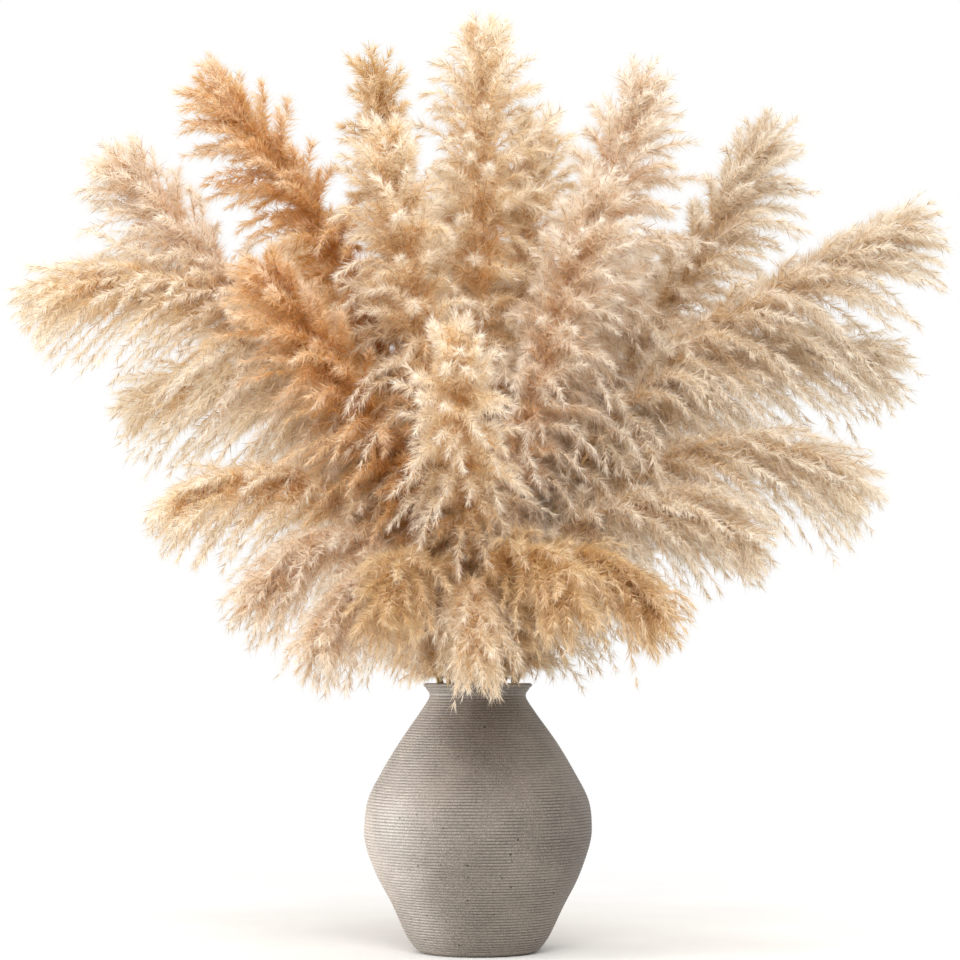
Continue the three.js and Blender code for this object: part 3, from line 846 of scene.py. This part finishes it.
@dataclass
class Plume:
    """One plume: its middle line, branches all round it, and tufts of hair all along each branch."""

    line: StemLine
    vase: Vase
    seed: int
    branches_per_metre: float = 430.0
    crowding: float = 0.75  # under 1, the branches stand closer together towards the tip
    below: float = 0.065  # how far below the plume's foot its first branches leave the stalk
    last: float = 0.94  # how far up the middle line the last branches leave it
    beyond: float = 0.046  # how far a branch may pass the plume's tip
    tip_taper: float = 0.8  # how far behind the tip a branch ends, over its distance from the middle line
    root_angle: float = 64.0  # of a branch off the middle line, at the plume's foot
    tip_angle: float = 30.0  # and at its tip
    angle_range: tuple[float, float] = (0.45, 1.1)  # a branch's own angle, over the usual one
    turn_spread: float = 0.25  # radians
    root_sag: float = 3.2  # twice a branch's drop over its length, at the plume's foot
    tip_sag: float = 0.25
    sag_power: float = 0.75  # the power of the place up the plume that the sag follows
    sag_range: tuple[float, float] = (0.6, 1.15)
    sag_shortens: float = 0.2
    sway: float = 0.16  # sideways, over a branch's length
    longest_at: float = 0.25
    lowest: float = 0.75  # the length of the lowest branches over that of the longest
    shortest: float = 0.62  # and that of the highest
    length_range: tuple[float, float] = (0.8, 1.0)
    room_range: tuple[float, float] = (0.85, 1.0)  # of the room up to the tip that a branch takes
    upper_cut: float = 0.15  # of the length of a branch that would grow straight up
    inner_every: int = 3  # each third branch is short and fills the middle
    inner_scale: float = 0.5
    beside_vase: float = 0.15  # the radius within which few branches hang below the rim
    over_rim_every: int = 7  # each seventh branch may hang there
    lowest_drop: float = 0.012  # how far below the rim those few may hang
    lift: float = 0.3  # the share of its sag that any other branch keeps, where it would pass the rim
    branch_margin: float = 0.006  # between a branch and the vase
    hair_margin: float = 0.001
    middle_radius: float = 0.0024
    middle_rings: int = 40
    middle_sides: int = 6
    middle_to: float = 0.985  # how far up the plume its middle line goes
    middle_taper: float = 0.8  # the share of its radius that it loses on the way
    branch_radius: float = 0.0005
    branch_rings: int = 4
    branch_sides: int = 3
    branch_taper: float = 0.75
    tufts_per_metre: float = 1000.0
    fewest_tufts: int = 8
    first_tuft: float = 0.03  # its place on the branch
    hairs_per_tuft: int = 3
    hair_length: float = 0.0185
    end_length: float = 0.7  # of a hair at a branch's ends, over hair_length
    hair_range: tuple[float, float] = (0.6, 1.2)  # a hair's own length, over its tuft's
    hair_width: float = 0.00085
    thinnest: float = 0.5  # the width of the darkest hair, over hair_width
    thickest: float = 1.6  # and that of the palest
    hair_angle: float = 50.0  # of a tuft off the branch
    angle_spread: float = 9.0
    narrowing: float = 0.5  # the share of its angle that a tuft at the branch's tip loses
    narrowing_power: float = 2.5
    fan_spread: float = 0.2  # of the hairs in a tuft
    fan_along: float = 0.008  # of their roots, over the branch's length
    hair_bend: float = 0.12  # downwards
    hair_twist: float = 0.5
    strips: int = 300  # as in the hair's finish
    hair_rows: float = 0.94  # the share of the UV map's height that the hair takes
    root_on_map: float = 0.006  # half of a hair's width there, along U
    tip_on_map: float = 0.02  # how far its tip is up U from its root

    def branch_scale(self, t: np.ndarray) -> np.ndarray:
        """A branch's length over the plume's reach: longest a quarter of the way up, shorter to the tip."""
        rising = mix(self.lowest, 1.0, np.maximum(t, 0.0) / self.longest_at)
        past = np.clip((t - self.longest_at) / (1 - self.longest_at), 0.0, 1.0)
        return np.where(t < self.longest_at, rising, mix(1.0, self.shortest, past**2))

    def grow(self, rng: np.random.Generator) -> Branches:
        """Places the branches by the golden turn round the plume's line and gives each its curve.

        Args:
            rng: where the random numbers come from.

        Returns:
            The branches that stay clear of the vase.
        """
        stem = self.line.stem
        count = min(self.strips, round(self.branches_per_metre * (stem.length + self.below)))
        t = mix(-self.below / stem.length, self.last, ((np.arange(count) + 0.5) / count) ** self.crowding)
        distances = self.line.plume_from + t * stem.length
        way = self.line.ways(distances)
        side, other = frame_across(way, self.line.aside)
        turn = np.arange(count) * GOLDEN_TURN + rng.normal(0.0, self.turn_spread, count)
        out = np.cos(turn)[:, None] * side + np.sin(turn)[:, None] * other
        spread = np.radians(mix(self.root_angle, self.tip_angle, t)) * rng.uniform(*self.angle_range, count)
        sag = mix(self.root_sag, self.tip_sag, np.maximum(t, 0.0) ** self.sag_power)
        sag = sag * rng.uniform(*self.sag_range, count)
        inner = np.arange(count) % self.inner_every == 0
        share = rng.uniform(*self.length_range, count) * np.where(inner, self.inner_scale, 1.0)
        length = stem.reach * self.branch_scale(t) * share / (1 + self.sag_shortens * sag)
        length *= 1.0 - self.upper_cut * np.maximum(out[:, 2], 0.0)
        room = ((1 - t) * stem.length + self.beyond) / (np.cos(spread) + self.tip_taper * np.sin(spread))
        length = np.minimum(length, room * rng.uniform(*self.room_range, count))
        start = (np.cos(spread)[:, None] * way + np.sin(spread)[:, None] * out) * length[:, None]
        sway = rng.normal(0.0, self.sway, (count, 3)) * length[:, None]
        branches = Branches(self.line.at(distances), start, length * sag / 2, sway, share)
        may_hang_over = np.arange(count) % self.over_rim_every == 0
        lifted = self.passes_rim(branches) & (~may_hang_over | self.passes_rim(branches, self.lowest_drop))
        branches.drop = np.where(lifted, self.lift * branches.drop, branches.drop)
        clear = ~self.vase.holds(branches.samples, self.branch_margin).any(axis=1)
        return branches.kept(clear & ~(lifted & self.passes_rim(branches)))

    def passes_rim(self, branches: Branches, drop: float = 0.0) -> np.ndarray:
        """Tells which branches hang lower than the rim, by more than a drop, beside the vase."""
        return self.vase.beside(branches.samples, self.beside_vase, drop).any(axis=1)

    def row(self, owner: np.ndarray, share: np.ndarray | float) -> np.ndarray:
        """V on the UV map for a branch's number and a share of its row's height, short of the row's edges."""
        return (owner + mix(0.06, 0.94, share)) / self.strips

    def hair(self, branches: Branches, rng: np.random.Generator) -> Surface:
        """Hair in tufts: a tuft leaves its branch at a place, a turn and an angle, and its hairs fan out.

        A hair is one slim triangle. Its way is that of its tuft with a random part, and bends down a little.
        A tuft's angle is (normal value round hair_angle) * (1 - narrowing * s^narrowing_power) at the place s, so
        that hairs lie closer to the branch at its tip, and they are shorter at both of its ends. A hair's width
        grows with its grain, and so does its paleness in the finish.

        Args:
            branches: what carries the hair.
            rng: where the random numbers come from.

        Returns:
            The triangles.
        """
        tufts = np.maximum(self.fewest_tufts, np.round(branches.lengths * self.tufts_per_metre)).astype(int)
        owner = np.repeat(np.arange(len(tufts)), tufts)
        s = rng.uniform(self.first_tuft, 1.0, len(owner))
        way = branches.ways(owner, s)
        side, other = frame_across(way, SKEW)
        turn = rng.uniform(0.0, 2.0 * math.pi, len(owner))[:, None]
        out = np.cos(turn) * side + np.sin(turn) * other
        angle = np.radians(rng.normal(self.hair_angle, self.angle_spread, len(owner)))
        angle *= 1.0 - self.narrowing * s**self.narrowing_power
        lean = np.cos(angle)[:, None] * way + np.sin(angle)[:, None] * out
        length = self.hair_length * mix(self.end_length, 1.0, np.sin(math.pi * np.minimum(1.0, s * 1.05)))
        fan = self.hairs_per_tuft
        owner, s, out, lean = (np.repeat(values, fan, axis=0) for values in (owner, s, out, lean))
        length = np.repeat(length, fan) * rng.uniform(*self.hair_range, len(owner))
        ways = unit(lean + rng.normal(0.0, self.fan_spread, lean.shape) - self.hair_bend * Z)
        s = np.clip(s + rng.uniform(-self.fan_along, self.fan_along, len(s)), 0.0, 1.0)
        root = branches.at(owner, s) + out * self.branch_radius
        tip = root + ways * length[:, None]
        clear = ~self.vase.holds(tip, self.hair_margin)
        root, tip, ways, out, owner, s = (values[clear] for values in (root, tip, ways, out, owner, s))
        grains = rng.uniform(0.0, 1.0, len(owner))
        half_width = self.hair_width / 2 * mix(self.thinnest, self.thickest, grains)[:, None]
        across = unit(np.cross(ways, out + rng.normal(0.0, self.hair_twist, out.shape))) * half_width
        corners = np.stack([root - across, root + across, tip], axis=1).reshape(-1, 3)
        low, high = self.row(owner, 0.0), self.row(owner, 1.0)
        out_at = s * branches.share[owner]
        left, right, end = out_at - self.root_on_map, out_at + self.root_on_map, out_at + self.tip_on_map
        places = np.stack([left, low, right, low, end, high], axis=-1).reshape(-1, 2)
        places[:, 1] *= self.hair_rows
        return Surface(corners, np.arange(len(corners)).reshape(-1, 3), places, grains)

    def straw(self, branches: Branches) -> Surface:
        """The plume's middle line and its branches' own, as thin tubes that taper to their tips.

        Args:
            branches: the branches.

        Returns:
            The triangles, for the second finish.
        """
        stem = self.line.stem
        t = np.linspace(0.0, self.middle_to, self.middle_rings)
        distances = self.line.plume_from + t * stem.length
        points, ways = self.line.at(distances), self.line.ways(distances)
        radii = self.middle_radius * (1.0 - self.middle_taper * t)
        middle = tube(points, ways, self.line.aside, radii, self.middle_sides).reshape(-1, 3)
        count = len(branches.drop)
        owner, s = np.meshgrid(np.arange(count), np.linspace(0.0, 1.0, self.branch_rings), indexing="ij")
        radii = self.branch_radius * (1.0 - self.branch_taper * s)
        twigs = tube(branches.at(owner, s), branches.ways(owner, s), SKEW, radii, self.branch_sides)
        first = (np.arange(count) * self.branch_rings * self.branch_sides)[:, None, None]
        twig_faces = tube_faces(self.branch_rings, self.branch_sides)[None] + first
        corners = np.concatenate([middle, twigs.reshape(-1, 3)])
        middle_faces = tube_faces(self.middle_rings, self.middle_sides)
        faces = np.concatenate([middle_faces, twig_faces.reshape(-1, 3) + len(middle)])
        heights = np.concatenate([np.repeat(t, self.middle_sides), np.repeat(s.ravel(), self.branch_sides)])
        turns = [np.tile(np.arange(n) / n, k) for n, k in ((self.middle_sides, t.size), (self.branch_sides, s.size))]
        around = np.concatenate(turns)
        places = np.stack([heights, mix(self.hair_rows + 0.01, 1.0, around)], axis=-1)
        return Surface(corners, faces, places, finish=1)

    def build(self, number: str, finishes: dict[Tone, bpy.types.Material], straw: bpy.types.Material) -> int:
        """Makes the plume's piece.

        Args:
            number: the stem's number.
            finishes: the hair's material for each tone.
            straw: the material of its middle lines.

        Returns:
            How many triangles it has.
        """
        rng = np.random.default_rng(self.seed)
        branches = self.grow(rng)
        piece = self.hair(branches, rng).mesh("plume_hair_" + number, self.straw(branches))
        tone = self.line.stem.tone
        piece.data.materials.append(finishes[tone])
        piece.data.materials.append(straw)
        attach(piece, "root")
        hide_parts("plume_" + number)
        return len(piece.data.polygons)


@dataclass
class Bundle:
    """All the stems, in the order of their numbers: upright in the middle, leaning, and over the rim."""

    vase: Vase
    stems: tuple[Stem, ...] = (
        Stem((0.000, 0), (0.008, 0.020, 1.096), 0.300, 88, 0.540, 0.190, Tone.CREAM),
        Stem((0.015, 0), (0.200, 0.055, 1.044), 0.300, 76, 0.510, 0.215, Tone.BLUSH),
        Stem((0.015, 60), (0.070, 0.095, 1.000), 0.320, 80, 0.480, 0.160, Tone.CREAM),
        Stem((0.015, 115), (-0.030, 0.225, 0.960), 0.320, 70, 0.470, 0.185, Tone.CREAM),
        Stem((0.015, 190), (-0.122, 0.000, 1.046), 0.320, 86, 0.490, 0.110, Tone.TAN),
        Stem((0.015, 250), (-0.106, -0.105, 0.945), 0.300, 80, 0.470, 0.180, Tone.CREAM),
        Stem((0.029, -2), (0.528, 0.000, 0.858), 0.370, 26, 0.570, 0.185, Tone.SAND),
        Stem((0.029, 30), (0.358, 0.080, 0.985), 0.310, 63, 0.530, 0.190, Tone.SAND),
        Stem((0.029, 65), (0.225, 0.265, 0.850), 0.320, 48, 0.480, 0.185, Tone.BLUSH),
        Stem((0.029, 120), (-0.240, 0.265, 0.870), 0.320, 48, 0.480, 0.185, Tone.CREAM),
        Stem((0.029, 158), (-0.330, 0.045, 1.038), 0.350, 47, 0.560, 0.175, Tone.AMBER),
        Stem((0.029, 188), (-0.434, 0.000, 0.940), 0.320, 52, 0.530, 0.180, Tone.BLUSH),
        Stem((0.029, 222), (-0.250, -0.110, 0.790), 0.300, 54, 0.430, 0.170, Tone.AMBER),
        Stem((0.029, 277), (-0.025, -0.245, 0.690), 0.290, 60, 0.400, 0.175, Tone.CREAM),
        Stem((0.029, 315), (0.142, -0.070, 0.890), 0.320, 72, 0.430, 0.165, Tone.BLUSH),
        Stem((0.043, -12), (0.440, -0.045, 0.530), 0.300, -42, 0.470, 0.185, Tone.SAND),
        Stem((0.043, 12), (0.498, 0.065, 0.690), 0.340, -22, 0.520, 0.180, Tone.SAND),
        Stem((0.043, 50), (0.205, 0.330, 0.520), 0.290, -38, 0.420, 0.185, Tone.SAND),
        Stem((0.043, 100), (-0.130, 0.350, 0.495), 0.270, -42, 0.400, 0.175, Tone.CREAM),
        Stem((0.043, 142), (-0.425, 0.150, 0.650), 0.310, -30, 0.480, 0.180, Tone.CREAM),
        Stem((0.043, 168), (-0.520, -0.015, 0.752), 0.360, -32, 0.560, 0.180, Tone.CREAM),
        Stem((0.043, 189), (-0.346, -0.095, 0.500), 0.280, -42, 0.415, 0.160, Tone.CREAM),
        Stem((0.043, 208), (-0.244, -0.165, 0.398), 0.260, -60, 0.335, 0.140, Tone.BLUSH),
        Stem((0.043, 228), (-0.168, -0.225, 0.345), 0.220, -70, 0.295, 0.125, Tone.BLUSH),
        Stem((0.043, 248), (-0.100, -0.250, 0.385), 0.215, -60, 0.325, 0.130, Tone.TAN),
        Stem((0.043, 268), (0.000, -0.255, 0.335), 0.195, -76, 0.250, 0.105, Tone.CREAM),
        Stem((0.043, 288), (0.095, -0.255, 0.390), 0.220, -58, 0.325, 0.130, Tone.TAN),
        Stem((0.043, 311), (0.196, -0.185, 0.380), 0.240, -56, 0.305, 0.130, Tone.TAN),
        Stem((0.043, 332), (0.306, -0.100, 0.468), 0.260, -45, 0.370, 0.150, Tone.SAND),
    )
    # Deep, middle and pale colours of each tone; the deep ones are partly painted shade deep in the plumes.
    hair: tuple[HairFinish, ...] = (
        HairFinish(Tone.CREAM, "#f3cf90", "#fbf0dd", "#fffcf8"),
        HairFinish(Tone.BLUSH, "#f1cfa2", "#f9efe4", "#fffdfb"),
        HairFinish(Tone.TAN, "#deb06a", "#ebd5ac", "#faeedb"),
        HairFinish(Tone.AMBER, "#dca657", "#f0d09c", "#fdf0e0"),
        HairFinish(Tone.SAND, "#e5c795", "#f2e9dd", "#fcf9f5"),
    )
    stalk_straw: StrawFinish = StrawFinish("straw", "#9c8350", "#d8c48f")
    plume_straw: StrawFinish = StrawFinish("plume_straw", "#a98352", "#dcbf90")

    def build(self) -> None:
        """Builds every stalk and plume and reports each."""
        finishes = {finish.tone: finish.material() for finish in self.hair}
        straw = self.stalk_straw.material()
        plume_straw = self.plume_straw.material()
        total = 0
        for index, stem in enumerate(self.stems, start=1):
            number = f"{index:02d}"
            line = StemLine(stem)
            stalk = Stalk(line).build(number, straw)
            count = Plume(line, self.vase, seed=1000 + index).build(number, finishes, plume_straw)
            total += count + len(stalk.data.polygons)
            LOG.info("stem %s: plume of %d triangles, %s", number, count, stem.tone.value)
        LOG.info("stems: %d triangles in all", total)


# ---- Studio ----


@dataclass(frozen=True)
class Lamp:
    """A square lamp that points at a place, or a spot on it where a cone is given."""

    name: str
    place: tuple[float, float, float]
    aim: tuple[float, float, float]
    size: float  # of its side, or of the bulb of a spot
    power: float  # in watts
    cone: float = 0.0  # in degrees
    edge: float = 0.35  # the share of the cone that fades out

    def hang(self) -> None:
        """Adds the lamp to the scene, turned so that it looks along the line from its place to its aim."""
        data = bpy.data.lights.new(self.name, "SPOT" if self.cone else "AREA")
        data.energy = self.power
        if self.cone:
            data.spot_size = math.radians(self.cone)
            data.spot_blend = self.edge
            data.shadow_soft_size = self.size
        else:
            data.shape = "SQUARE"
            data.size = self.size
        lamp = linked(self.name, data)
        lamp.location = self.place
        way = np.array(self.aim) - np.array(self.place)
        lamp.rotation_euler = (math.atan2(math.hypot(way[0], way[1]), -way[2]), 0.0, math.atan2(-way[0], way[1]))


@dataclass
class Studio:
    """A pale floor, soft light, and the camera, level with the rim and tipped up a little."""

    floor_radius: float = 9.0
    floor_sides: int = 64
    floor_rings: int = 12
    camera_distance: float = 3.0
    camera_height: float = 0.310
    camera_side: float = 0.0023
    camera_tilt: float = 4.53  # degrees above the level
    focal_length: float = 96.1  # in millimetres, and so is the sensor's width
    sensor_width: float = 36.0
    sees_to: float = 60.0  # metres
    sky: float = 0.93
    sky_colour: tuple[float, float, float, float] = (1.0, 0.99, 0.975, 1.0)
    lamps: tuple[Lamp, ...] = (
        Lamp("window", (-3.4, -0.6, 1.2), (0.0, 0.0, 0.6), 2.4, 22.0),
        Lamp("overhead", (0.0, -0.6, 3.4), (0.0, 0.0, 0.6), 2.2, 42.0),
        Lamp("front", (0.0, -3.1, 2.3), (0.0, 0.0, 0.6), 1.8, 84.0),
        Lamp("on_vase", (-1.6, -0.1, 0.10), (0.0, 0.0, 0.136), 0.12, 280.0, 13.5),
    )
    paper: PaperFinish = PaperFinish()

    def floor(self) -> bpy.types.Object:
        """Lays a round floor: points at radius R q^2 for q from 0.05 to 1, turned round the Z axis.

        Returns:
            The floor.
        """
        sides = self.floor_sides
        angles = np.linspace(0.0, 2.0 * math.pi, sides, endpoint=False)[None, :]
        radius = self.floor_radius * np.linspace(0.05, 1.0, self.floor_rings)[:, None] ** 2
        rings = np.stack([radius * np.cos(angles), radius * np.sin(angles), 0.0 * radius * angles], axis=-1)
        corners = rings.reshape(-1, 3)
        faces = ring_walls(self.floor_rings, sides)[:, ::-1]  # turned over, so that they face up
        around = np.arange(sides)
        middle = np.stack([np.full(sides, len(corners)), around, (around + 1) % sides], axis=-1)
        mesh = bpy.data.meshes.new("paper_floor")
        mesh.from_pydata([*corners.tolist(), (0.0, 0.0, 0.0)], [], np.concatenate([faces, middle]).tolist())
        mesh.materials.append(self.paper.material())
        floor = linked("paper_floor", mesh)
        return floor

    def light(self) -> None:
        """Gives an even pale sky, which the camera sees as plain white, and hangs the lamps.

        The strongest soft lamp is high in front, one is overhead and a weak one on the left, and a narrow one
        lights the vase's left side.
        """
        world = bpy.data.worlds.new("studio")
        bpy.context.scene.world = world
        world.use_nodes = True
        tree = world.node_tree
        tree.nodes.clear()
        rays = tree.nodes.new("ShaderNodeLightPath")
        glow = tree.nodes.new("ShaderNodeBackground")
        glow.inputs[0].default_value = self.sky_colour
        glow.inputs[1].default_value = self.sky
        seen = tree.nodes.new("ShaderNodeBackground")
        seen.inputs[0].default_value = WHITE
        both = tree.nodes.new("ShaderNodeMixShader")
        out = tree.nodes.new("ShaderNodeOutputWorld")
        tree.links.new(rays.outputs["Is Camera Ray"], both.inputs[0])
        tree.links.new(glow.outputs[0], both.inputs[1])
        tree.links.new(seen.outputs[0], both.inputs[2])
        tree.links.new(both.outputs[0], out.inputs[0])
        for lamp in self.lamps:
            lamp.hang()

    def camera(self) -> None:
        """Sets the camera in front, level with the rim."""
        data = bpy.data.cameras.new("camera")
        data.lens = self.focal_length
        data.sensor_width = self.sensor_width
        data.clip_end = self.sees_to
        camera = linked("camera", data)
        camera.location = (self.camera_side, -self.camera_distance, self.camera_height)
        camera.rotation_euler = (math.radians(90.0 + self.camera_tilt), 0.0, 0.0)
        bpy.context.scene.camera = camera

    def build(self) -> None:
        """Sets up the whole studio, with plain screen colours."""
        bpy.context.scene.view_settings.view_transform = "Standard"
        self.camera()
        self.light()
        self.floor()


def main() -> None:
    """Builds the studio, the vase and the bundle."""
    logging.basicConfig(level=logging.INFO, format="%(name)s: %(message)s")
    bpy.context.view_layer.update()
    Studio().build()
    vase = Vase()
    piece = vase.build()
    LOG.info("vase: %d triangles", len(piece.data.polygons))
    Bundle(vase).build()


if __name__ == "__main__":
    main()
